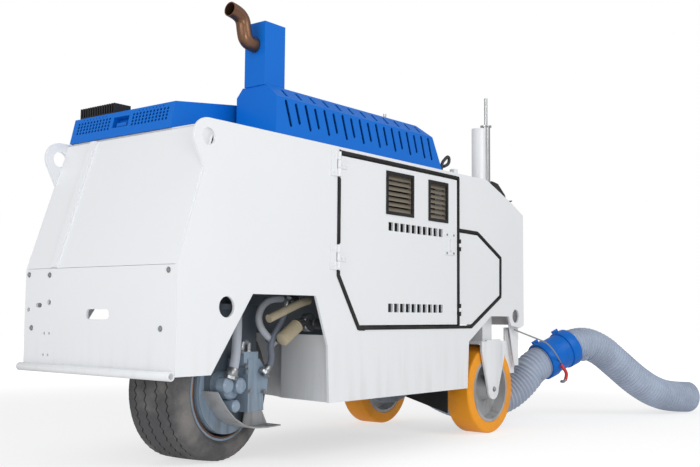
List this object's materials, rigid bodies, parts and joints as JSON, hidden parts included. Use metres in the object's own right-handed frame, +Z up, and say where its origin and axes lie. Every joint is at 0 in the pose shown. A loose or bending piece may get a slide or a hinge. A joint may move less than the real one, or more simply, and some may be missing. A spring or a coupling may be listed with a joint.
{
  "type": "wheeled compact cold planer milling machine",
  "caption": "Compact wheeled cold planer with a steered drive wheel, louvred engine doors, slotted exhaust guard, milling drum in its housing and a trailing dust hose.",
  "frame": {"origin": "on the ground under the middle of the machine, its trailing dust hose left out", "axes": "+X forward, towards the steered drive wheel; +Y to the left side, with the exhaust guard; +Z up"},
  "size_m": [3.5943, 1.2108, 1.5968],
  "materials": {
    "body_white": "satin",
    "deck_white": "satin",
    "machine_blue": "satin",
    "frame_grey": "satin",
    "wheel_grey": "satin",
    "urethane": "satin",
    "road_tyre": "matte",
    "black_rubber": "matte",
    "black_plastic": "matte",
    "drive_steel": "satin",
    "tool_steel": "matte",
    "bare_steel": "satin",
    "heated_steel": "satin",
    "louvre_tan": "satin",
    "hose_grey": "satin",
    "engine_grey": "matte"
  },
  "bodies": {
    "machine": {"side_plate_left": "body_white", "side_plate_right": "body_white", "edge_trim": "black_rubber", "door_posts": "black_plastic", "front_plate": "body_white", "front_panel": "body_white", "bumper_tube": "body_white", "deck": "deck_white", "rear_panel": "body_white", "bay_roof": "frame_grey", "bay_wall": "body_white", "bulkheads": "frame_grey", "drum_housing": "frame_grey", "drum_sides": "frame_grey", "engine_block": "engine_grey", "exhaust_guard": "machine_blue", "exhaust_stack": "machine_blue", "exhaust_pipe": "heated_steel", "console": "black_plastic", "depth_rods": "bare_steel", "leg_left": "body_white", "leg_right": "body_white", "rear_brackets": "body_white", "rubber_curtain": "black_rubber", "hose_lower": "hose_grey", "hose_coupling": "machine_blue", "hose_upper": "hose_grey"},
    "steering": {"steering_fork": "frame_grey", "drive_gearbox": "drive_steel", "valve_block": "drive_steel", "motor_guard": "wheel_grey"},
    "drive_wheel": {"drive_tyre": "road_tyre", "drive_rim": "drive_steel"},
    "rear_wheel_left": {"rear_tyre_left": "urethane", "rear_hub_left": "wheel_grey"},
    "rear_wheel_right": {"rear_tyre_right": "urethane", "rear_hub_right": "wheel_grey"},
    "engine_door_left": {"door_left": "body_white", "door_louvre_left": "louvre_tan"},
    "engine_door_right": {"door_right": "body_white", "door_louvre_right": "louvre_tan"},
    "rear_cover_left": {"rear_door_left": "body_white"},
    "rear_cover_right": {"rear_door_right": "body_white"},
    "engine_hood": {"hood": "machine_blue", "top_box": "black_plastic"},
    "cutting_drum": {"milling_drum": "tool_steel"}
  },
  "joints": [
    {"name": "steer", "type": "hinge", "parent": "machine", "child": "steering", "pos_m": [0.554, -0.058, 0.6], "axis": [0, 0, 1], "range_deg": [-52, 38]},
    {"name": "drive_wheel_spin", "type": "hinge", "parent": "steering", "child": "drive_wheel", "pos_m": [0.554, -0.058, 0.266], "axis": [-0.1219, 0.9925, 0], "continuous": true},
    {"name": "rear_wheel_left_spin", "type": "hinge", "parent": "machine", "child": "rear_wheel_left", "pos_m": [-0.857, 0.302, 0.2], "axis": [0, 1, 0], "continuous": true},
    {"name": "rear_wheel_right_spin", "type": "hinge", "parent": "machine", "child": "rear_wheel_right", "pos_m": [-0.857, -0.302, 0.2], "axis": [0, 1, 0], "continuous": true},
    {"name": "engine_door_left_swing", "type": "hinge", "parent": "machine", "child": "engine_door_left", "pos_m": [0.316, 0.407, 0.9], "axis": [0, 0, -1], "range_deg": [0, 110]},
    {"name": "engine_door_right_swing", "type": "hinge", "parent": "machine", "child": "engine_door_right", "pos_m": [0.316, -0.407, 0.9], "axis": [0, 0, 1], "range_deg": [0, 110]},
    {"name": "rear_cover_left_swing", "type": "hinge", "parent": "machine", "child": "rear_cover_left", "pos_m": [-0.52, 0.407, 0.7], "axis": [0, 0, -1], "range_deg": [0, 90]},
    {"name": "rear_cover_right_swing", "type": "hinge", "parent": "machine", "child": "rear_cover_right", "pos_m": [-0.52, -0.407, 0.7], "axis": [0, 0, 1], "range_deg": [0, 90]},
    {"name": "hood_lift", "type": "hinge", "parent": "machine", "child": "engine_hood", "pos_m": [0.29, -0.1, 1.168], "axis": [0, -1, 0], "range_deg": [0, 60]},
    {"name": "cutting_drum_spin", "type": "hinge", "parent": "machine", "child": "cutting_drum", "pos_m": [-0.19, 0, 0.49], "axis": [0, 1, 0], "continuous": true}
  ]
}
